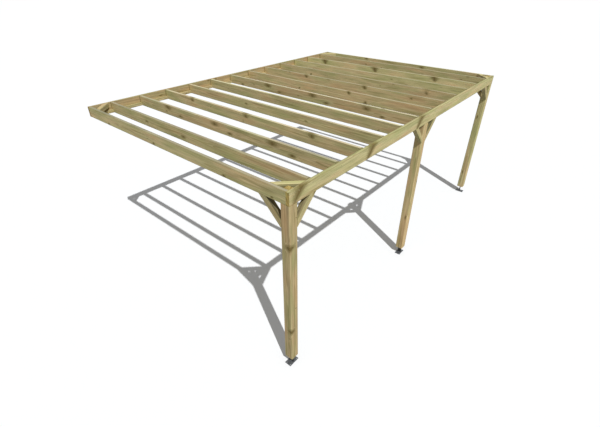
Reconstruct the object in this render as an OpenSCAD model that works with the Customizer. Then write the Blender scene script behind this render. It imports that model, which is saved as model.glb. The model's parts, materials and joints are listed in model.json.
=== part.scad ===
// Lean-to pergola: a plate and ledger on a wall, rafters, side beams and a front beam
// on three notched posts, with knee braces, flat corner braces and bladed steel feet.
// +X runs along the wall, +Y points into the wall and +Z is up. The origin is the centre
// of the wall plate's back face.

/* [Overall] */
// Length along the wall, over the side beams
length = 6000; // [5200:50:6400]
// Depth from the wall to the front beam's outer face
depth = 4030; // [2600:10:4600]
// Height of the timber tops above the ground
height = 2550; // [2200:10:2800]

/* [Beams and rafters] */
// Thickness of the plates, beams and rafters
beam_t = 45; // [35:1:50]
// Height of the plates, beams and rafters
beam_h = 150; // [120:1:180]
// Width and height of the ledger that carries the rafters at the wall
ledger_size = 45; // [30:1:60]
// Distance from the end of the frame to the middle of the first rafter
rafter_inset = 352; // [330:1:400]

/* [Posts] */
// Side of the square posts
post_size = 120; // [110:1:140]
// Width of the bevel along each post edge
post_bevel = 8; // [2:1:12]
// How far the middle post rises behind the front beam
middle_rise = 75; // [40:5:140]
// How far a corner post's top lies below the beams' tops
corner_drop = 10; // [1:1:60]

/* [Braces] */
// Side of the square knee braces
knee_size = 70; // [60:1:75]
// Distance from the post face to the far end of a knee brace
knee_reach = 290; // [200:5:320]
// Width of the flat corner braces
flat_w = 65; // [40:1:75]
// Thickness of the flat corner braces
flat_t = 70; // [30:1:90]
// Distance from an outer corner to a flat brace's nearer edge, along each side
flat_near = 247; // [200:1:300]

/* [Feet] */
// Clear height between the ground and the post's lower end
foot_gap = 128; // [60:1:160]
// Longer side of the base plate
plate_l = 156; // [140:1:200]
// Shorter side of the base plate
plate_w = 90; // [70:1:110]
// Thickness of the base plate and the blade
plate_t = 8; // [5:1:10]
// Width of the blade
blade_w = 60; // [40:1:70]
// Length of the blade inside the post
blade_grip = 110; // [60:1:140]
// Diameter of the bolt holes in the base plate
bolt_d = 12; // [9:0.5:14]
// Distance from a bolt hole's centre to the edges of the base plate
bolt_edge = 16; // [14:1:20]

/* [Hidden] */

rafter_count = 12;
half = length / 2;
top_z = beam_h / 2;
beam_z = top_z - beam_h;
ground_z = top_z - height;
post_z = ground_z + foot_gap;
// Middle of each post across the front, and of all posts from the wall
left_x = post_size / 2 - half;
right_x = half - post_size / 2;
post_y = post_size / 2 - depth;
// Pitch from one rafter's middle to the next
rafter_pitch = (length - 2 * rafter_inset) / (rafter_count - 1);
wood = "#a29a68";
steel = "#44474a";
$fn = 48;

// A straight timber between two opposite corners
module timber(low, high) {
    color(wood) translate(low) cube(high - low);
}

// The square section of a post, with its edges bevelled
module post_section() {
    a = post_size / 2;
    b = a - post_bevel;
    polygon([[-a, -b], [-b, -a], [b, -a], [a, -b], [a, b], [b, a], [-b, a], [-a, b]]);
}

// A post with its foot's slot, its top end at z = top, notched for the front beam and, at a
// corner, for a side beam on the side given as -1 or 1
module post(x, side, turn, top) {
    a = post_size / 2;
    notch_z = beam_h + 1;
    color(wood) translate([x, post_y, 0]) difference() {
        translate([0, 0, post_z]) linear_extrude(top - post_z) post_section();
        translate([-a - 1, -a - 1, beam_z]) cube([post_size + 2, beam_t + 1, notch_z]);
        if (side != 0)
            translate([side * (a + 1) - (side > 0 ? beam_t + 1 : 0), -a - 1, beam_z])
                cube([beam_t + 1, post_size + 2, notch_z]);
        rotate(turn) translate([-blade_w / 2, -plate_t / 2, post_z - 1])
            cube([blade_w, plate_t, blade_grip + 1]);
    }
}

// A foot: a base plate with four bolt holes, and a blade across its shorter side
module foot(x, turn) {
    color(steel) translate([x, post_y, ground_z]) rotate(turn) {
        difference() {
            translate([-plate_w / 2, -plate_l / 2, 0]) cube([plate_w, plate_l, plate_t]);
            for (sx = [-1, 1], sy = [-1, 1])
                translate([sx * (plate_w / 2 - bolt_edge), sy * (plate_l / 2 - bolt_edge), -1])
                    cylinder(h = plate_t + 2, d = bolt_d);
        }
        translate([-blade_w / 2, -plate_t / 2, plate_t])
            cube([blade_w, plate_t, foot_gap + blade_grip - plate_t]);
    }
}

// A knee brace under a beam. It starts at a post's face, runs along +X before it is turned,
// and has its outer face on y = 0
module knee(pos, turn, mirrored) {
    cut = knee_size * sqrt(2);
    color(wood) translate(pos) rotate(turn) mirror([0, mirrored ? 1 : 0, 0])
        translate([0, knee_size, 0]) rotate([90, 0, 0]) linear_extrude(knee_size)
            polygon([[0, -knee_reach], [knee_reach, 0], [knee_reach - cut, 0],
                     [0, cut - knee_reach]]);
}

// A flat brace across a corner of the frame, its ends against the inner faces
module flat_brace(sx, front) {
    near = flat_near - beam_t;
    far = near + flat_w * sqrt(2);
    color(wood) translate([sx * half, front ? -depth : 0, top_z - flat_t])
        mirror([sx > 0 ? 1 : 0, 0, 0]) mirror([0, front ? 0 : 1, 0])
            linear_extrude(flat_t)
                polygon([[beam_t, near], [near, beam_t], [far, beam_t], [beam_t, far]]);
}

module wall_plate() {
    timber([-half, -beam_t, beam_z], [half, 0, top_z]);
}

module wall_ledger() {
    timber([beam_t - half, -beam_t - ledger_size, beam_z],
           [half - beam_t, -beam_t, beam_z + ledger_size]);
}

module front_beam() {
    timber([-half, -depth, beam_z], [half, beam_t - depth, top_z]);
}

// A side beam between the front beam and the wall plate, at x = -1 or 1
module side_beam(side) {
    inner = side * (half - beam_t);
    outer = side * half;
    timber([min(inner, outer), beam_t - depth, beam_z], [max(inner, outer), -beam_t, top_z]);
}

// A rafter with its wall end notched over the ledger
module rafter(number) {
    x = rafter_inset - half + (number - 1) * rafter_pitch;
    color(wood) translate([x, 0, 0]) difference() {
        translate([-beam_t / 2, beam_t - depth, beam_z])
            cube([beam_t, depth - 2 * beam_t, beam_h]);
        translate([-beam_t / 2 - 1, -beam_t - ledger_size, beam_z - 1])
            cube([beam_t + 2, ledger_size + 1, ledger_size + 1]);
    }
}

module left_post() {
    post(left_x, -1, 90, top_z - corner_drop);
}

module middle_post() {
    post(0, 0, 90, beam_z + middle_rise);
}

module right_post() {
    post(right_x, 1, 0, top_z - corner_drop);
}

module left_post_front_knee() {
    knee([post_size - half, -depth, beam_z], 0, false);
}

module left_post_side_knee() {
    knee([-half, post_size - depth, beam_z], 90, true);
}

module middle_post_left_knee() {
    knee([-post_size / 2, -depth, beam_z], 180, true);
}

module middle_post_right_knee() {
    knee([post_size / 2, -depth, beam_z], 0, false);
}

module right_post_front_knee() {
    knee([half - post_size, -depth, beam_z], 180, true);
}

module right_post_side_knee() {
    knee([half, post_size - depth, beam_z], 90, false);
}

module front_left_corner_brace() {
    flat_brace(-1, true);
}

module front_right_corner_brace() {
    flat_brace(1, true);
}

module wall_left_corner_brace() {
    flat_brace(-1, false);
}

module wall_right_corner_brace() {
    flat_brace(1, false);
}

module left_post_foot() {
    foot(left_x, 90);
}

module middle_post_foot() {
    foot(0, 90);
}

module right_post_foot() {
    foot(right_x, 0);
}

wall_plate();
wall_ledger();
front_beam();
side_beam(-1);  // left_side_beam
side_beam(1);  // right_side_beam
rafter(1);  // rafter_01
rafter(2);  // rafter_02
rafter(3);  // rafter_03
rafter(4);  // rafter_04
rafter(5);  // rafter_05
rafter(6);  // rafter_06
rafter(7);  // rafter_07
rafter(8);  // rafter_08
rafter(9);  // rafter_09
rafter(10);  // rafter_10
rafter(11);  // rafter_11
rafter(12);  // rafter_12
left_post();
middle_post();
right_post();
left_post_front_knee();
left_post_side_knee();
middle_post_left_knee();
middle_post_right_knee();
right_post_front_knee();
right_post_side_knee();
front_left_corner_brace();
front_right_corner_brace();
wall_left_corner_brace();
wall_right_corner_brace();
left_post_foot();
middle_post_foot();
right_post_foot();
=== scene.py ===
"""A lean-to pergola of pressure-treated pine on coated steel feet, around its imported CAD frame.

Every timber is made from its CAD solid, so its size, notches and slots are the real ones.
Its edges are then eased, its screw holes are sunk, and it gets its own grain and knots.
The feet get sheared edges, weld beads, and the pins that hold the posts on their blades.
"""
import json
import math
import random

import bmesh
import bpy
from mathutils import Matrix, Vector


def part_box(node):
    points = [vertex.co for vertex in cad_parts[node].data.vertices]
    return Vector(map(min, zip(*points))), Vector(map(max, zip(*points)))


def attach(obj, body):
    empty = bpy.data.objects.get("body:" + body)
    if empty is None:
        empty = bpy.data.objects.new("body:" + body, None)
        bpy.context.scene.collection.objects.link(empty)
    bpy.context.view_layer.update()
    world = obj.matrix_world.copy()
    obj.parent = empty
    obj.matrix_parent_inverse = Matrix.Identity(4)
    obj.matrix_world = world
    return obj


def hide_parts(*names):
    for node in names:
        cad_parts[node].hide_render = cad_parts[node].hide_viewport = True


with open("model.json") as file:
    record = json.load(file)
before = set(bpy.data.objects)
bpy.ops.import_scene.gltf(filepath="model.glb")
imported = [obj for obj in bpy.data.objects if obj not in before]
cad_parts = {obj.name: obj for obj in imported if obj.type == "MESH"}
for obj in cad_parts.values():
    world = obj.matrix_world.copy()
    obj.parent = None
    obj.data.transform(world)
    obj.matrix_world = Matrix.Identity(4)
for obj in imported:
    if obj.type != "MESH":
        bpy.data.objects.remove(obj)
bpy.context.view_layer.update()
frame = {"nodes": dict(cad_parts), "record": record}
record = frame["record"]
slot_of = {part["node"]: part["material_slot"] for part in record["subparts"]}
steel_slot = slot_of["left_post_foot"]

MM = 0.001
X, Y, Z = Vector((1, 0, 0)), Vector((0, 1, 0)), Vector((0, 0, 1))

# Driving sizes, in metres
ARRIS = 5.0 * MM          # planed edges along a timber are rounded to this width
POST_ARRIS = 1.5 * MM     # the corners of a post's wide bevels are only just broken
SAWN_ARRIS = 0.8 * MM     # sawn ends and notches keep a nearly sharp edge
STEEL_ARRIS = 0.7 * MM    # sheared steel edges, with the coat drawn over them
HEAD_D = 11.0 * MM        # across a countersunk screw head
HEAD_SINK = 0.8 * MM      # how far a head sits below the timber's face
HEAD_DEPTH = 5.0 * MM     # length of a head's cone, which narrows to half its width
HEAD_FIT = 0.3 * MM       # gap between a head and its countersink
DRIVE_DEPTH = 2.0 * MM    # depth of a head's six-lobed drive
PIN_D = 10.0 * MM         # steel pins through a post and its foot's blade
PIN_SINK = 1.0 * MM       # how far a pin's ends sit below the post's faces
PIN_RISES = (35 * MM, 85 * MM)  # heights of the pins above the post's lower end
BEAM_ROW = 45 * MM        # screws above and below a beam's middle
POST_PAIR = 50 * MM       # between the two rows of front beam screws at each post
SIDE_STEPS = (20 * MM, 55 * MM)  # side beam screws, from the front beam
BRACE_END = 35 * MM       # brace screws, from the ends of the brace's longest face
BEAD_R = 4.0 * MM         # radius of the weld beads at the foot of a blade
BEAD_STEP = 0.6           # from one ripple of a bead to the next, in its radii
BLADE_START = 12 * MM     # above this height on a foot there is only its blade
FLOOR_SIZE = 160.0        # side of the square floor, far wider than the frame
FACING = 0.9              # a face looks a given way if its normal's share of it is above this

ground_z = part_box("left_post_foot")[0].z


# ---------------------------------------------------------------- materials

def linear(code, alpha=1.0):
    """An sRGB hex colour as linear red, green, blue and alpha."""
    parts = [int(code[i:i + 2], 16) / 255 for i in (1, 3, 5)]
    return [p / 12.92 if p <= 0.04045 else ((p + 0.055) / 1.055) ** 2.4 for p in parts] + [alpha]


def add(tree, kind, inputs=(), **settings):
    """Adds a node, applies its settings and fills its inputs, by number or by name."""
    node = tree.nodes.new("ShaderNode" + kind)
    for key, value in settings.items():
        setattr(node, key, value)
    for key, value in inputs.items() if isinstance(inputs, dict) else enumerate(inputs):
        if isinstance(value, bpy.types.Node):
            value = next(out for out in value.outputs if out.enabled)
        if isinstance(value, bpy.types.NodeSocket):
            tree.links.new(value, node.inputs[key])
        elif value is not None:
            node.inputs[key].default_value = value
    return node


def new_material(name):
    """An empty material: its node tree and its surface shader."""
    material = bpy.data.materials.new(name)
    material.use_nodes = True
    tree = material.node_tree
    return material, tree, tree.nodes["Principled BSDF"]


def set_stops(ramp, *stops):
    """Gives a colour ramp its stops, each a place and a grey level or a hex colour."""
    marks = ramp.color_ramp.elements
    while len(marks) < len(stops):
        marks.new(0.5)
    for mark, (place, shade) in zip(marks, stops):
        mark.position = place
        mark.color = linear(shade) if isinstance(shade, str) else (shade, shade, shade, 1)


TONE_STEP = 0.15          # how much lighter one unit of tone makes a timber


def pine(name, early, late, heart_early, heart_late, ring, is_end):
    """Pressure-treated pine, planed on the faces or sawn across the grain.

    The colour is worked out through the solid wood from the grain attribute, whose x runs
    along the timber and whose y and z are the distances from the pith. The salts turn the
    sapwood olive and leave the heartwood pinkish, the summer wood of each year is darker,
    and branches grow out from the pith as knots. The tone attribute holds how pale the
    timber is, with painted light and shade on the tops and painted shade on the sides that
    face into a corner, how pink, and how far its branches lean.
    """
    material, tree, shader = new_material(name)
    grain = add(tree, "Attribute", attribute_name="grain").outputs["Vector"]
    tone = add(tree, "Attribute", attribute_name="tone").outputs["Vector"]
    tone = add(tree, "SeparateXYZ", [tone])
    draw = add(tree, "Attribute", attribute_name="draw").outputs["Vector"]
    draw = add(tree, "SeparateXYZ", [draw])

    # The pith wanders a centimetre or so over each metre of trunk
    drift = add(tree, "VectorMath", [grain, (0.9, 5, 5)], operation="MULTIPLY")
    drift = add(tree, "TexNoise", {"Vector": drift, "Scale": 1, "Detail": 2})
    drift = add(tree, "VectorMath", [drift.outputs["Color"], (0.5, 0.5, 0.5)], operation="SUBTRACT")
    wood = add(tree, "VectorMath", [drift, (0, 0.035, 0.035), grain], operation="MULTIPLY_ADD")
    along = add(tree, "SeparateXYZ", [wood])

    # Distance to the nearest branch, in branch radii: across it, and drawn out along the timber
    nearest = smudge = None
    for chain in ("knots_a", "knots_b"):
        branch = add(tree, "Attribute", attribute_name=chain).outputs["Vector"]
        start = add(tree, "SeparateXYZ", [branch])
        thick = add(tree, "VectorMath", [branch, (0, 1, 1)], operation="MULTIPLY")
        size = add(tree, "VectorMath", [thick], operation="LENGTH").outputs["Value"]
        out = add(tree, "VectorMath", [wood, thick], operation="DOT_PRODUCT").outputs["Value"]
        out = add(tree, "Math", [out, size], operation="DIVIDE")
        beside = add(tree, "VectorMath", [wood, thick], operation="CROSS_PRODUCT")
        beside = add(tree, "SeparateXYZ", [beside])
        beside = add(tree, "Math", [beside, size], operation="DIVIDE")
        gap = add(tree, "Math", [along, start], operation="SUBTRACT")
        lean = add(tree, "Math", [out, tone.outputs[2]], operation="MULTIPLY")
        gap = add(tree, "Math", [gap, lean], operation="SUBTRACT")
        # A branch swells from 0.4 of its size at the pith to its full size 70 mm out
        here = add(tree, "Math", [out, 0], operation="MAXIMUM")
        here = add(tree, "Math", [here, 8.5, 0.4], operation="MULTIPLY_ADD")
        here = add(tree, "Math", [here, size], operation="MULTIPLY")
        behind = add(tree, "Math", [out, 0], operation="LESS_THAN")
        ways = []
        for stretch in draw.outputs[:2]:
            long = add(tree, "Math", [gap, stretch], operation="MULTIPLY")
            away = add(tree, "CombineXYZ", [long, beside])
            away = add(tree, "VectorMath", [away], operation="LENGTH").outputs["Value"]
            away = add(tree, "Math", [away, here], operation="DIVIDE")
            ways.append(add(tree, "Math", [behind, 9, away], operation="MULTIPLY_ADD"))
        if nearest:
            ways = [add(tree, "Math", pair, operation="MINIMUM")
                    for pair in zip(ways, (nearest, smudge))]
        nearest, smudge = ways
    ragged = add(tree, "TexNoise", {"Vector": grain, "Scale": 70, "Detail": 2})
    ragged = add(tree, "Math", [ragged, 0.5], operation="SUBTRACT")
    nearest = add(tree, "Math", [ragged, 0.7, nearest], operation="MULTIPLY_ADD")
    smudge = add(tree, "Math", [ragged, 1.6, smudge], operation="MULTIPLY_ADD")
    swell = add(tree, "Math", [smudge, smudge], operation="MULTIPLY")
    swell = add(tree, "Math", [swell, -0.22], operation="MULTIPLY")
    swell = add(tree, "Math", [swell], operation="EXPONENT")

    # Year rings, bent round the branches, a little wider than life so that they show
    radius = add(tree, "VectorMath", [wood, (0, 1, 1)], operation="MULTIPLY")
    radius = add(tree, "VectorMath", [radius], operation="LENGTH").outputs["Value"]
    bent = add(tree, "Math", [swell, 0.012, radius], operation="MULTIPLY_ADD")
    years = add(tree, "Math", [along, 0.004, bent], operation="MULTIPLY_ADD")
    years = add(tree, "Math", [years, ring], operation="DIVIDE")
    uneven = add(tree, "TexNoise", {"Vector": radius, "Scale": 60, "Detail": 1})
    years = add(tree, "Math", [uneven, 2.2, years], operation="MULTIPLY_ADD")
    years = add(tree, "Math", [years], operation="FRACT")
    summer = add(tree, "ValToRGB", [years])
    set_stops(summer, (0, 0.0), (0.4, 0.1), (0.8, 0.75), (0.93, 1.0), (1, 0.0))

    # Sapwood and heartwood, which begins about 50 mm from the pith
    edge = add(tree, "Math", [drift, 0.05, radius], operation="MULTIPLY_ADD")
    heart = add(tree, "MapRange", {"Value": edge, "From Min": 0.1, "From Max": 0.07})
    share = add(tree, "MapRange", {"Value": tone.outputs[1], "From Min": -1})
    heart = add(tree, "Math", [heart, share], operation="MULTIPLY")
    sap = add(tree, "Mix", {0: summer, 6: linear(early), 7: linear(late)}, data_type="RGBA")
    core = add(tree, "Mix", {0: summer, 6: linear(heart_early), 7: linear(heart_late)},
               data_type="RGBA")
    colour = add(tree, "Mix", {0: heart, 6: sap, 7: core}, data_type="RGBA")

    # Salts soaked in unevenly: greener and browner patches about 600 mm long
    patch = add(tree, "VectorMath", [grain, (1.7, 11, 11)], operation="MULTIPLY")
    patch = add(tree, "TexNoise", {"Vector": patch, "Scale": 1, "Detail": 2.5})
    patch = add(tree, "Math", [tone.outputs[1], -0.1, patch], operation="MULTIPLY_ADD")
    green = add(tree, "MapRange",
                {"Value": patch, "From Min": 0.46, "From Max": 0.7, "To Max": 0.65})
    colour = add(tree, "Mix", {0: green, 6: colour, 7: linear("#a9ae70")}, data_type="RGBA")
    brown = add(tree, "MapRange",
                {"Value": patch, "From Min": 0.48, "From Max": 0.28, "To Max": 0.65})
    colour = add(tree, "Mix", {0: brown, 6: colour, 7: linear("#d0ab7c")}, data_type="RGBA")
    # Olive streaks about 40 mm wide and 600 mm long, where the salts lay thickest
    streak = add(tree, "VectorMath", [grain, (1.6, 26, 26)], operation="MULTIPLY")
    streak = add(tree, "TexNoise", {"Vector": streak, "Scale": 1, "Detail": 3})
    streak = add(tree, "MapRange",
                 {"Value": streak, "From Min": 0.56, "From Max": 0.72, "To Max": 0.6})
    colour = add(tree, "Mix", {0: streak, 6: colour, 7: linear("#8b8349")}, data_type="RGBA")

    # Painted highlight: the tops of the rafters and side beams are mixed towards a pale cream,
    # standing in for the sun's glare on them
    painted_top_highlight = add(tree, "Attribute", attribute_name="painted_top_highlight").outputs["Fac"]
    colour = add(tree, "Mix", {0: painted_top_highlight, 6: colour, 7: linear("#d9d3c0")}, data_type="RGBA")

    # Fibres: streaks from 25 mm down to 2 mm wide, drawn out along the timber
    fibre = add(tree, "VectorMath", [grain, (2.4, 40, 40)], operation="MULTIPLY")
    fibre = add(tree, "TexNoise", {"Vector": fibre, "Scale": 1, "Detail": 5, "Roughness": 0.62})
    level = add(tree, "MapRange", {"Value": fibre, "From Min": 0.25, "From Max": 0.75,
                                   "To Min": 0.78, "To Max": 1.32})
    level = add(tree, "Math", [tone, TONE_STEP, level], operation="MULTIPLY_ADD")
    colour = add(tree, "Mix", {0: 1.0, 6: colour, 7: level}, data_type="RGBA",
                 blend_type="MULTIPLY")

    # A knot: olive wood drawn out around it, a thin rim of bark and a ringed eye
    halo = add(tree, "MapRange",
               {"Value": smudge, "From Min": 2.8, "From Max": 0.4, "To Max": 0.85},
               interpolation_type="SMOOTHSTEP")
    colour = add(tree, "Mix", {0: halo, 6: colour, 7: linear("#7b6c38")}, data_type="RGBA")
    eye = add(tree, "MapRange", {"Value": nearest, "From Min": 1.1, "From Max": 0.8, "To Max": 0.8})
    eye_rings = add(tree, "Math", [nearest, 14], operation="MULTIPLY")
    eye_rings = add(tree, "Math", [eye_rings], operation="SINE")
    eye_rings = add(tree, "MapRange",
                    {"Value": eye_rings, "From Min": -1, "To Min": 0.25, "To Max": 0.6})
    eye_colour = add(tree, "Mix", {0: eye_rings, 6: linear("#5f4c26"), 7: linear("#94804a")},
                     data_type="RGBA")
    colour = add(tree, "Mix", {0: eye, 6: colour, 7: eye_colour}, data_type="RGBA")
    rim = add(tree, "Math", [nearest, 1.0], operation="SUBTRACT")
    rim = add(tree, "Math", [rim], operation="ABSOLUTE")
    rim = add(tree, "MapRange", {"Value": rim, "From Min": 0.16, "From Max": 0.02, "To Max": 0.45})
    colour = add(tree, "Mix", {0: rim, 6: colour, 7: linear("#4c3c1c")}, data_type="RGBA")

    # Painted shade mixed with staining: the arrises and the last 25 mm where a timber butts on
    # another are darkened, partly for salts and dirt and partly for the shade under the lower arrises
    # and in the joints
    place = add(tree, "Attribute", attribute_name="place").outputs["Vector"]
    place = add(tree, "VectorMath", [place], operation="ABSOLUTE")
    room = add(tree, "Attribute", attribute_name="half_size").outputs["Vector"]
    room = add(tree, "VectorMath", [room, place], operation="SUBTRACT")
    room = add(tree, "SeparateXYZ", [room])
    arris_stain_and_shade = add(tree, "Math", [room.outputs[1], room.outputs[2]], operation="MAXIMUM")
    arris_stain_and_shade = add(tree, "MapRange",
                {"Value": arris_stain_and_shade, "From Min": 0.012, "From Max": 0.004, "To Max": 0.4})
    butt_stain_and_shade = add(tree, "MapRange",
               {"Value": room, "From Min": 0.026, "From Max": 0.01, "To Max": 0.75})
    stain_and_painted_shade = add(tree, "Math", [arris_stain_and_shade, butt_stain_and_shade], operation="MAXIMUM")
    colour = add(tree, "Mix", {0: stain_and_painted_shade, 6: colour, 7: linear("#6a6130")}, data_type="RGBA")

    height = add(tree, "Math", [summer, 0.35, fibre], operation="MULTIPLY_ADD")
    if is_end:
        # Drying checks run out from the pith across a sawn end
        ray = add(tree, "VectorMath", [wood, (0, 1, 1)], operation="MULTIPLY")
        ray = add(tree, "VectorMath", [ray], operation="NORMALIZE")
        ray = add(tree, "TexNoise", {"Vector": ray, "Scale": 3.5, "Detail": 4})
        check = add(tree, "MapRange", {"Value": ray, "From Min": 0.58, "From Max": 0.64})
        colour = add(tree, "Mix", {0: check, 6: colour, 7: linear("#6d5426")}, data_type="RGBA")
        height = add(tree, "Math", [check, -1.5, height], operation="MULTIPLY_ADD")

    bump = add(tree, "Bump", {"Height": height, "Strength": 0.55, "Distance": 0.6 * MM})
    dull = add(tree, "MapRange", {"Value": fibre, "To Min": 0.66, "To Max": 0.86})
    tree.links.new(colour.outputs["Result"], shader.inputs["Base Color"])
    tree.links.new(dull.outputs[0], shader.inputs["Roughness"])
    tree.links.new(bump.outputs[0], shader.inputs["Normal"])
    shader.inputs["IOR"].default_value = 1.5
    shader.inputs["Specular IOR Level"].default_value = 0.3
    return material


def coated_steel(name, clean, dusty):
    """Steel plate under a dark grey dip coat: satin, with a faint orange-peel surface."""
    material, tree, shader = new_material(name)
    place = add(tree, "TexCoord").outputs["Object"]
    # Dust and rubbing lighten the coat in patches a few centimetres across
    dust = add(tree, "TexNoise", {"Vector": place, "Scale": 38, "Detail": 4})
    colour = add(tree, "ValToRGB", [dust])
    set_stops(colour, (0.3, clean), (0.75, dusty))
    # Orange peel about 3 mm across
    peel = add(tree, "TexNoise", {"Vector": place, "Scale": 330, "Detail": 2})
    bump = add(tree, "Bump", {"Height": peel, "Strength": 0.25, "Distance": 0.2 * MM})
    dull = add(tree, "MapRange", {"Value": dust, "To Min": 0.34, "To Max": 0.6})
    tree.links.new(colour.outputs[0], shader.inputs["Base Color"])
    tree.links.new(dull.outputs[0], shader.inputs["Roughness"])
    tree.links.new(bump.outputs[0], shader.inputs["Normal"])
    return material


def zinc_screw():
    """Zinc-plated screw steel, its plating gone a little dull and yellow outdoors."""
    material, tree, shader = new_material("dull_zinc_screws")
    place = add(tree, "TexCoord").outputs["Object"]
    blotch = add(tree, "TexNoise", {"Vector": place, "Scale": 400, "Detail": 3})
    colour = add(tree, "ValToRGB", [blotch])
    set_stops(colour, (0.3, "#948c66"), (0.7, "#bdb491"))
    dull = add(tree, "MapRange", {"Value": blotch, "To Min": 0.3, "To Max": 0.55})
    tree.links.new(colour.outputs[0], shader.inputs["Base Color"])
    tree.links.new(dull.outputs[0], shader.inputs["Roughness"])
    shader.inputs["Metallic"].default_value = 0.9
    return material


planed_pine = pine("treated_pine_planed", "#dbd09f", "#b2a670", "#dcc493", "#b59a69",
                   ring=6 * MM, is_end=False)
sawn_pine = pine("treated_pine_end_grain", "#d0b86a", "#957e38", "#d3b86e", "#9b7f3c",
                 ring=4.5 * MM, is_end=True)
plate_steel = coated_steel("dark_coated_steel", "#404346", "#676a6c")
# Painted shade: the blade and its welds are coloured nearly black, for the shadow the post casts on
# them
blade_steel_painted_shade = coated_steel("coated_blade_steel_painted_shade", "#1d1f21", "#2b2d2f")
screw_steel = zinc_screw()


# ---------------------------------------------------------------- pieces

def finish_piece(name, shape, materials, slot, *nodes):
    """Turns a bmesh into a finished piece that rides on the frame and stands for nodes."""
    mesh = bpy.data.meshes.new(name)
    shape.to_mesh(mesh)
    shape.free()
    for material in materials:
        mesh.materials.append(material)
    piece = bpy.data.objects.new(name, mesh)
    bpy.context.scene.collection.objects.link(piece)
    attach(piece, "root")
    if nodes:
        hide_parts(*nodes)
    return piece


def solid_of(node):
    """A CAD node's solid as one closed bmesh, with its flat faces whole."""
    shape = bmesh.new()
    shape.from_mesh(frame["nodes"][node].data)
    bmesh.ops.remove_doubles(shape, verts=shape.verts, dist=0.01 * MM)
    bmesh.ops.dissolve_limit(shape, angle_limit=math.radians(1), verts=shape.verts,
                             edges=shape.edges)
    return shape


def ease(shape, edges, width, segments):
    """Rounds edges over by a width."""
    bmesh.ops.bevel(shape, geom=edges, offset=width, segments=segments, profile=0.5,
                    material=-1, affect="EDGES", clamp_overlap=True)


def timber_axes(shape):
    """Unit vectors along a timber and across its two sides, from its longest edge."""
    longest = max(shape.edges, key=lambda edge: edge.calc_length())
    along = (longest.verts[1].co - longest.verts[0].co).normalized()
    # The same way along each time, whichever end the edge starts at
    if along.dot(Vector((1, 1.1, 1.2))) < 0:
        along.negate()
    side = min((X, Y, Z), key=lambda axis: round(abs(axis.dot(along)), 3))
    return along, side, along.cross(side)


def screw_matrix(place, out):
    """The frame of a screw whose head faces out of a timber at a place on its face."""
    return Matrix.Translation(place) @ out.to_track_quat("Z", "Y").to_matrix().to_4x4()


def sink_holes(screws):
    """Cutters for the countersinks of screws, each given as a place and its way out."""
    slope = HEAD_D / 4 / HEAD_DEPTH
    # The cutters stand proud of the face, so no skin of wood is left over a hole
    above = 2 * MM
    depth = HEAD_SINK + HEAD_DEPTH + above
    cutters = bmesh.new()
    for place, out in screws:
        middle = Matrix.Translation((0, 0, above - depth / 2))
        bmesh.ops.create_cone(cutters, cap_ends=True, segments=16, radius1=HEAD_D / 4 + HEAD_FIT,
                              radius2=HEAD_D / 4 + HEAD_FIT + slope * depth, depth=depth,
                              matrix=screw_matrix(place, out) @ middle)
    return cutters


def pin_solids(pins, diameter, spare):
    """Cylinders for pins, each given by its two ends, longer or shorter by a spare length."""
    solids = bmesh.new()
    for start, end in pins:
        run = end - start
        bmesh.ops.create_cone(solids, cap_ends=True, segments=24, radius1=diameter / 2,
                              radius2=diameter / 2, depth=run.length + 2 * spare,
                              matrix=screw_matrix((start + end) / 2, run.normalized()))
    return solids


def cut(shape, cutters):
    """Takes the cutters' solids away from a shape."""
    holders = []
    for name, part in (("cut_shape", shape), ("cut_tools", cutters)):
        mesh = bpy.data.meshes.new(name)
        part.to_mesh(mesh)
        part.free()
        holder = bpy.data.objects.new(name, mesh)
        bpy.context.scene.collection.objects.link(holder)
        holders.append(holder)
    boolean = holders[0].modifiers.new("cut", "BOOLEAN")
    boolean.operation = "DIFFERENCE"
    boolean.solver = "EXACT"
    boolean.object = holders[1]
    result = holders[0].evaluated_get(bpy.context.evaluated_depsgraph_get())
    left = bmesh.new()
    left.from_mesh(result.to_mesh())
    for holder in holders:
        mesh = holder.data
        bpy.data.objects.remove(holder)
        bpy.data.meshes.remove(mesh)
    return left


def add_head(shape, place, out):
    """A countersunk screw head with a six-lobed drive, just below the timber's face."""
    seat = Matrix.Translation((0, 0, -HEAD_SINK - HEAD_DEPTH / 2))
    cone = bmesh.ops.create_cone(shape, cap_ends=True, segments=12, radius1=HEAD_D / 4,
                                 radius2=HEAD_D / 2, depth=HEAD_DEPTH,
                                 matrix=screw_matrix(place, out) @ seat)
    faces = {face for vert in cone["verts"] for face in vert.link_faces}
    top = max(faces, key=lambda face: face.calc_center_median().dot(out))
    bmesh.ops.inset_individual(shape, faces=[top], thickness=HEAD_D * 0.2)
    centre = top.calc_center_median()
    # Every other one of the twelve corners is drawn in, which leaves six lobes
    for vert in list(top.verts)[::2]:
        vert.co = vert.co.lerp(centre, 0.35)
    drive = bmesh.ops.extrude_discrete_faces(shape, faces=[top])["faces"]
    bmesh.ops.translate(shape, verts=list(drive[0].verts), vec=-out * DRIVE_DEPTH)


# Where the pith runs past a plank whose knots are sawn lengthwise, from the plank's middle
PITHS = {"front_beam": (-0.028, -0.085)}
# How far a branch leans along a timber, per length
BRANCH_LEAN = 0.3
LEANS = {"front_beam": 0.8, "left_post": -0.15}
# How far a knot's eye and its stain are pressed together along a timber; under 1 draws them out
KNOT_DRAW = (0.85, 0.33)
DRAWS = {"left_post": (2.4, 1.6)}
# How far the tops of the rafters and side beams are painted towards pale cream, a painted highlight
# for the sun on them
TOP_HIGHLIGHT_SHARE = 0.4
TOP_HIGHLIGHT_NODES = ("rafter", "left_side", "right_side")
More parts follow.
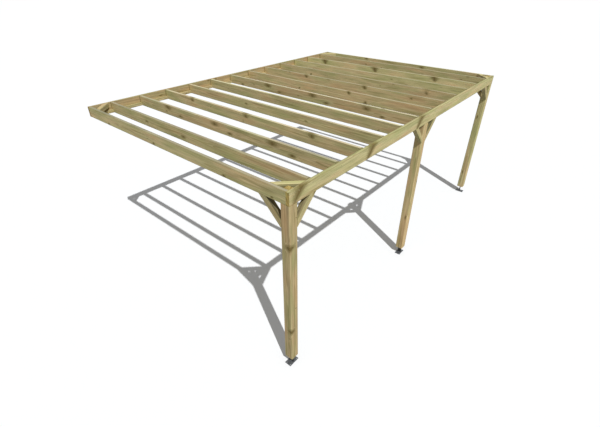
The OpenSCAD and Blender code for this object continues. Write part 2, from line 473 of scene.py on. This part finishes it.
# How pale a timber is, and how pink rather than green; 0 is middling for both
TONES = {
    "wall_plate": (-1.8, 0.6), "wall_ledger": (-0.9, 0.2), "front_beam": (0.5, -0.3),
    "left_side_beam": (0.2, -0.2), "right_side_beam": (0.4, -0.2),
    "rafter_01": (-0.2, 0), "rafter_02": (-0.4, 0.1), "rafter_03": (-0.1, -0.1),
    "rafter_04": (-0.1, 0), "rafter_05": (-0.1, -0.1), "rafter_06": (-0.4, 0.1),
    "rafter_07": (0.6, 0.2), "rafter_08": (0.4, 0.3), "rafter_09": (0.2, 0),
    "rafter_10": (1.3, -0.6), "rafter_11": (1.7, -0.3), "rafter_12": (-0.1, 0),
    "left_post": (-0.8, 0.6), "middle_post": (0.7, 0.6), "right_post": (0.7, -0.3),
    "front_left_corner_brace": (0.6, 0), "wall_left_corner_brace": (-1, 0),
    "left_post_side_knee": (-1.2, 0), "right_post_side_knee": (-1.4, 0),
}
# Painted light and shade on the tops: how much paler or darker the top of a timber is painted than
# the rest of it, in the same units
TOP_PAINTED_LIGHT = {
    "left_side_beam": -3.2, "front_beam": -1.6, "rafter_01": -2.5, "rafter_02": -1.0,
    "rafter_04": -0.2, "rafter_05": 1.3, "rafter_07": -2.6, "rafter_08": -3.0,
    "rafter_09": -3.0, "rafter_10": -3.2, "rafter_11": -3.2, "rafter_12": -3.0,
}
# Painted shade: the sides of braces and knees that face into a corner are painted darker, for the
# shade that falls there
POCKET_PAINTED_SHADE = -4.2
CORNER_FACING_SIDES = {
    "front_left_corner_brace": (-1, -1, 0), "front_right_corner_brace": (1, -1, 0),
    "wall_left_corner_brace": (-1, 1, 0), "wall_right_corner_brace": (1, 1, 0),
    "left_post_front_knee": (-1, 0, 1), "left_post_side_knee": (0, -1, 1),
    "middle_post_left_knee": (1, 0, 1), "middle_post_right_knee": (-1, 0, 1),
    "right_post_front_knee": (1, 0, 1), "right_post_side_knee": (0, -1, 1),
}
# The knots that show best: on each timber, a knot's place on a face and its radius in mm
KNOTS = {
    "front_beam": [((-2.86, -4.03, 0.02), 12), ((-1.55, -4.03, 0.02), 12),
                   ((-0.25, -4.03, 0.02), 12)],
    "left_side_beam": [((-3, -0.6, -0.05), 7), ((-3, -1.75, -0.05), 7), ((-3, -3.1, -0.05), 8)],
    "rafter_02": [((-2.19, -0.86, 0.04), 14), ((-2.19, -1.16, -0.03), 10),
                  ((-2.19, -1.96, 0.03), 14), ((-2.19, -2.26, -0.03), 11),
                  ((-2.19, -3.04, 0.03), 16), ((-2.19, -3.36, -0.03), 11)],
    "rafter_03": [((-1.71, -0.81, 0.03), 14), ((-1.71, -2.06, 0.03), 17),
                  ((-1.71, -3.26, 0.03), 17)],
    "rafter_06": [((-0.26, -0.41, -0.04), 9), ((-0.26, -1.09, 0.03), 16),
                  ((-0.26, -1.37, -0.03), 11), ((-0.26, -2.12, 0.03), 16),
                  ((-0.26, -2.41, -0.03), 11), ((-0.26, -3.16, 0.03), 16),
                  ((-0.26, -3.44, -0.04), 10)],
    "rafter_07": [((0.22, -2.52, 0.05), 8)],
    "rafter_08": [((0.7, -1.2, 0.05), 9), ((0.7, -2.53, 0.05), 10)],
    "rafter_11": [((2.14, -0.58, 0.02), 16), ((2.14, -1.89, 0.02), 16), ((2.14, -3.2, 0.03), 16)],
    "right_side_beam": [((2.96, -1.18, 0.05), 9), ((2.96, -2.56, 0.04), 12)],
    "left_post": [((-3, -4.03, -0.58), 40), ((-3, -4.03, -1.84), 40), ((-2.91, -4.03, -0.24), 6),
                  ((-2.92, -4.03, -1.48), 8)],
    "middle_post": [((-0.06, -3.99, -1.7), 9)],
    "right_post": [((2.88, -3.95, -0.73), 9), ((2.88, -3.95, -1.98), 9)],
}


# Other knots, drawn at random: how far apart they are, and the radius of the biggest in mm
STRAY_KNOTS = {"knots_a": (1.1, 13), "knots_b": (0.9, 8)}
# How far the pith may be off a post's middle, and how far it is off a plank's
POST_PITH = 12 * MM
PLANK_PITH = (25 * MM, 55 * MM)


def timber(node, rng, screws, pins):
    """A timber from its CAD solid, with eased edges, screws, pin holes, grain and knots."""
    shape = solid_of(node)
    along, side, other = timber_axes(shape)
    is_post = node.endswith("_post")
    longs, rest = [], []
    for edge in shape.edges:
        if edge.is_convex and edge.calc_face_angle() > math.radians(20):
            run = (edge.verts[1].co - edge.verts[0].co).normalized()
            (longs if abs(run.dot(along)) > 0.999 else rest).append(edge)
    ease(shape, longs, POST_ARRIS if is_post else ARRIS, 1 if is_post else 3)
    rest = [edge for edge in shape.edges
            if edge.is_convex and edge.calc_face_angle() > math.radians(60)]
    ease(shape, rest, SAWN_ARRIS, 1)
    if screws:
        shape = cut(shape, sink_holes(screws))
        heads = bmesh.new()
        for place, out in screws:
            add_head(heads, place, out)
        finish_piece(node + "_screws", heads, [screw_steel], steel_slot)
    if pins:
        shape = cut(shape, pin_solids(pins, PIN_D + 2 * HEAD_FIT, PIN_SINK))

    points = [vert.co for vert in shape.verts]
    places = [co.dot(along) for co in points]
    low, high = min(places), max(places)
    middle = Vector([(min(co[i] for co in points) + max(co[i] for co in points)) / 2
                     for i in range(3)])
    widths = [max(abs((co - middle).dot(axis)) for co in points) for axis in (side, other)]
    # A post is cut round the pith; a plank is cut a little to one side of it
    if is_post:
        pith = [rng.uniform(-POST_PITH, POST_PITH), rng.uniform(-POST_PITH, POST_PITH)]
    else:
        pith = [rng.choice((-1, 1)) * rng.uniform(*PLANK_PITH),
                rng.uniform(-PLANK_PITH[0], PLANK_PITH[0])]
    pith = PITHS.get(node, pith)
    lean = LEANS.get(node, BRANCH_LEAN)
    # Each timber comes from its own part of a long trunk, so no two share their grain
    shift = rng.uniform(10, 90)

    def in_wood(co):
        """A point as the grain sees it: along the timber, and across from the pith."""
        across = co - middle
        return Vector((co.dot(along) - low + shift, across.dot(side) - pith[0],
                       across.dot(other) - pith[1]))

    def branch(co, size):
        """The branch that shows as a knot at a place on the timber's face."""
        spot = in_wood(Vector(co))
        run = Vector((0, spot.y, spot.z))
        return (spot.x - lean * run.length, *(run.normalized() * size).yz)

    chains = {"knots_a": [branch(co, size * MM) for co, size in KNOTS.get(node, [])],
              "knots_b": []}
    for chain, (spacing, biggest) in STRAY_KNOTS.items():
        knots = chains[chain]
        if knots:
            continue
        place = rng.uniform(0.1, 0.6)
        while place < high - low:
            angle = rng.uniform(0, 2 * math.pi)
            size = rng.uniform(4, biggest) * MM
            knots.append((place + shift, size * math.cos(angle), size * math.sin(angle)))
            place += rng.uniform(0.5, 1.5) * spacing
        if not knots:
            # The shader wants a branch, so a timber without any has one 5 m before its start
            knots.append((shift - 5, 0.01, 0))

    # Each face belongs to the branch nearest along it, so the faces are cut half way between
    layers = {}
    for chain, knots in chains.items():
        knots.sort()
        ends = [(a[0] + b[0]) / 2 for a, b in zip(knots, knots[1:])]
        for end in ends:
            if shift < end < shift + high - low:
                bmesh.ops.bisect_plane(shape, geom=shape.verts[:] + shape.edges[:] + shape.faces[:],
                                       dist=0.001 * MM, plane_co=along * (end - shift + low),
                                       plane_no=along)
        layers[chain] = (knots, ends)
    grain_layer = shape.verts.layers.float_vector.new("grain")
    place_layer = shape.verts.layers.float_vector.new("place")
    tone_layer = shape.faces.layers.float_vector.new("tone")
    half_layer = shape.faces.layers.float_vector.new("half_size")
    draw_layer = shape.faces.layers.float_vector.new("draw")
    painted_top_highlight_layer = shape.faces.layers.float.new("painted_top_highlight")
    chain_layers = {chain: shape.faces.layers.float_vector.new(chain) for chain in chains}
    tone = Vector((*TONES.get(node, (rng.uniform(-0.4, 0.4), rng.uniform(-0.5, 0.5))), lean))
    # Only a rafter's ends get the stain and painted joint shade, and a post's wide bevels get no
    # arris darkening: a metre more hides both
    half_size = Vector(((high - low) / 2 + (not node.startswith("rafter")),
                        widths[0] + is_post, widths[1] + is_post))
    for vert in shape.verts:
        vert[grain_layer] = in_wood(vert.co)
        across = vert.co - middle
        vert[place_layer] = (across.dot(along), across.dot(side), across.dot(other))
    # Tops get painted light and shade, and the sides of braces and knees that face into a corner get
    # painted shade, through the tone
    way, change = Z, TOP_PAINTED_LIGHT.get(node, 0)
    if node in CORNER_FACING_SIDES:
        way, change = Vector(CORNER_FACING_SIDES[node]).normalized(), POCKET_PAINTED_SHADE
    for face in shape.faces:
        face[tone_layer] = tone + X * change * (face.normal.dot(way) > FACING)
        # The tops of the rafters and side beams get the painted highlight
        face[painted_top_highlight_layer] = TOP_HIGHLIGHT_SHARE * (face.normal.z > FACING and node.startswith(TOP_HIGHLIGHT_NODES))
        face[half_layer] = half_size
        face[draw_layer] = Vector((*DRAWS.get(node, KNOT_DRAW), 0))
        face.material_index = int(abs(face.normal.dot(along)) > FACING)
        here = face.calc_center_median().dot(along) - low + shift
        for chain, (knots, ends) in layers.items():
            face[chain_layers[chain]] = knots[sum(here > end for end in ends)]
    return finish_piece(node + "_timber", shape, [planed_pine, sawn_pine], slot_of[node], node)


def beam_screws():
    """Screws through the front beam, the side beams and the ledger, by node."""
    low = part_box("front_beam")[0]
    rows = (-BEAM_ROW, BEAM_ROW)
    rafters = [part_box(node) for node in slot_of if node.startswith("rafter")]
    middles = sorted((box[0].x + box[1].x) / 2 for box in rafters)
    # Into the end of each rafter, and at each post
    places = middles + [x + step for x in (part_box("left_post")[1].x, 0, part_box("right_post")[0].x)
                        for step in (-POST_PAIR / 2, POST_PAIR / 2)]
    screws = {"front_beam": [(Vector((x, low.y, z)), -Y) for x in places for z in rows]}
    for node, out in (("left_side_beam", -X), ("right_side_beam", X)):
        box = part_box(node)
        x = box[int(out.x > 0)].x
        screws[node] = [(Vector((x, box[0].y + step, z)), out)
                        for step in SIDE_STEPS for z in rows]
    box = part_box("wall_ledger")
    height = (box[0].z + box[1].z) / 2
    screws["wall_ledger"] = [(Vector(((a + b) / 2, box[0].y, height)), -Y)
                             for a, b in zip(middles, middles[1:])]
    return screws


def brace_screws(node):
    """Two screws near each end of a brace, square to its longest face."""
    shape = solid_of(node)
    face = max((face for face in shape.faces if len(face.verts) == 4),
               key=lambda face: face.calc_area())
    longest = max(face.edges, key=lambda edge: edge.calc_length())
    start, end = (vert.co.copy() for vert in longest.verts)
    out = face.normal.copy()
    centre = face.calc_center_median()
    shape.free()
    run = (end - start).normalized()
    reach = (end - start).length / 2 - BRACE_END
    across = run.cross(out)
    width = 2 * abs((start - centre).dot(across))
    return [(centre + run * way * reach + across * width * step, out)
            for way in (-1, 1) for step in (-0.25, 0.25)]


def post_pins(node):
    """Two pins through a post and its foot's blade, square to the blade."""
    post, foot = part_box(node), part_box(node + "_foot")
    middle = (post[0] + post[1]) / 2
    plate = foot[1] - foot[0]
    pins = []
    for rise in PIN_RISES:
        start = Vector((middle.x, middle.y, post[0].z + rise))
        end = start.copy()
        axis = 0 if plate.x > plate.y else 1
        start[axis], end[axis] = post[0][axis], post[1][axis]
        pins.append((start, end))
    return pins


def weld_beads(node):
    """Rippled fillet welds along both sides of a foot's blade, where it stands on the plate."""
    shape = solid_of(node)
    low = min(vert.co.z for vert in shape.verts)
    top = min(vert.co.z for vert in shape.verts if vert.co.z > low + MM)
    blade = [vert.co.copy() for vert in shape.verts if vert.co.z > top + MM]
    shape.free()
    middle = sum(blade, Vector()) / len(blade)
    sizes = [max(abs((co - middle)[axis]) for co in blade) for axis in (0, 1)]
    long = int(sizes[1] > sizes[0])
    steps = int(2 * sizes[long] / BEAD_R / BEAD_STEP)
    beads = bmesh.new()
    for way in (-1, 1):
        for step in range(1, steps):
            place = Vector((middle.x, middle.y, top))
            place[long] += sizes[long] * (2 * step / steps - 1)
            place[1 - long] += way * sizes[1 - long]
            bmesh.ops.create_uvsphere(beads, u_segments=8, v_segments=6, radius=BEAD_R,
                                      matrix=Matrix.Translation(place))
    return beads


def foot(node, pins):
    """A steel foot from its CAD solid, with sheared edges, weld beads and its pins."""
    shape = solid_of(node)
    sharp = [edge for edge in shape.edges
             if edge.is_convex and edge.calc_face_angle() > math.radians(40)]
    ease(shape, sharp, STEEL_ARRIS, 2)
    shape = cut(shape, pin_solids(pins, PIN_D + 2 * HEAD_FIT, PIN_SINK))
    low = min(vert.co.z for vert in shape.verts)
    for face in shape.faces:
        # Above BLADE_START the blade takes the nearly black steel, painted shade for the post's
        # shadow
        face.material_index = int(face.calc_center_median().z > low + BLADE_START)
    finish_piece(node + "_steel", shape, [plate_steel, blade_steel_painted_shade], steel_slot, node)
    finish_piece(node + "_pins", pin_solids(pins, PIN_D, -PIN_SINK), [plate_steel], steel_slot)
    finish_piece(node + "_welds", weld_beads(node), [blade_steel_painted_shade], steel_slot)


screws = beam_screws()
for node in slot_of:
    if node.endswith(("_knee", "_brace")):
        screws[node] = brace_screws(node)
pins = {node: post_pins(node) for node in slot_of if node.endswith("_post")}
for node in slot_of:
    if not node.endswith("_foot"):
        timber(node, random.Random(node), screws.get(node, ()), pins.get(node, ()))
for node in slot_of:
    if node.endswith("_foot"):
        foot(node, pins[node[:-5]])


# ---------------------------------------------------------------- stage, light and camera

def pale_floor():
    """A plain white floor that keeps the shadow, and lights the timbers less than it shows."""
    shape = bmesh.new()
    bmesh.ops.create_grid(shape, x_segments=1, y_segments=1, size=FLOOR_SIZE / 2,
                          matrix=Matrix.Translation((0, 0, ground_z)))
    mesh = bpy.data.meshes.new("floor")
    shape.to_mesh(mesh)
    shape.free()
    material, tree, _ = new_material("white_floor")
    path = add(tree, "LightPath")
    seen = add(tree, "Math", [path.outputs["Is Camera Ray"], path.outputs["Is Glossy Ray"]],
               operation="MAXIMUM")
    colour = add(tree, "Mix", {0: seen, 6: (0.22, 0.22, 0.22, 1), 7: (0.972, 0.985, 1, 1)},
                 data_type="RGBA")
    paint = add(tree, "BsdfDiffuse", {"Color": colour})
    tree.links.new(paint.outputs[0], tree.nodes["Material Output"].inputs["Surface"])
    mesh.materials.append(material)
    floor = bpy.data.objects.new("floor", mesh)
    bpy.context.scene.collection.objects.link(floor)


def light():
    """A sun from the front left, a little softened, under an even white sky."""
    lamp = bpy.data.lights.new("sun", "SUN")
    lamp.energy = 2.9
    lamp.angle = math.radians(0.6)
    sun = bpy.data.objects.new("sun", lamp)
    sun.rotation_euler = Vector((0.327, 0.634, -1)).to_track_quat("-Z", "Y").to_euler()
    bpy.context.scene.collection.objects.link(sun)
    world = bpy.data.worlds.new("sky")
    bpy.context.scene.world = world
    world.use_nodes = True
    tree = world.node_tree
    path = add(tree, "LightPath")
    seen = add(tree, "Math", [path.outputs["Is Camera Ray"], path.outputs["Is Glossy Ray"]],
               operation="MAXIMUM")
    seen = add(tree, "Math", [seen, path.outputs["Is Transmission Ray"]], operation="MAXIMUM")
    # The sky looks fully white, but lights the frame at 0.28 of that
    strength = add(tree, "MapRange", {"Value": seen, "To Min": 0.28, "To Max": 1.0})
    tree.links.new(strength.outputs[0], tree.nodes["Background"].inputs["Strength"])
    tree.nodes["Background"].inputs["Color"].default_value = (1, 1, 1, 1)


def camera():
    """The view from beyond the front left corner, down onto the roof from above it."""
    lens = bpy.data.cameras.new("camera")
    lens.sensor_fit = "HORIZONTAL"
    lens.sensor_width = 36
    lens.lens = 22.3
    lens.clip_end = 500
    view = bpy.data.objects.new("camera", lens)
    view.location = (-5.177, -5.997, 1.758)
    view.rotation_euler = (math.radians(57.03), 0, math.radians(-49.84))
    bpy.context.scene.collection.objects.link(view)
    bpy.context.scene.camera = view


pale_floor()
light()
camera()
bpy.context.scene.view_settings.view_transform = "Standard"
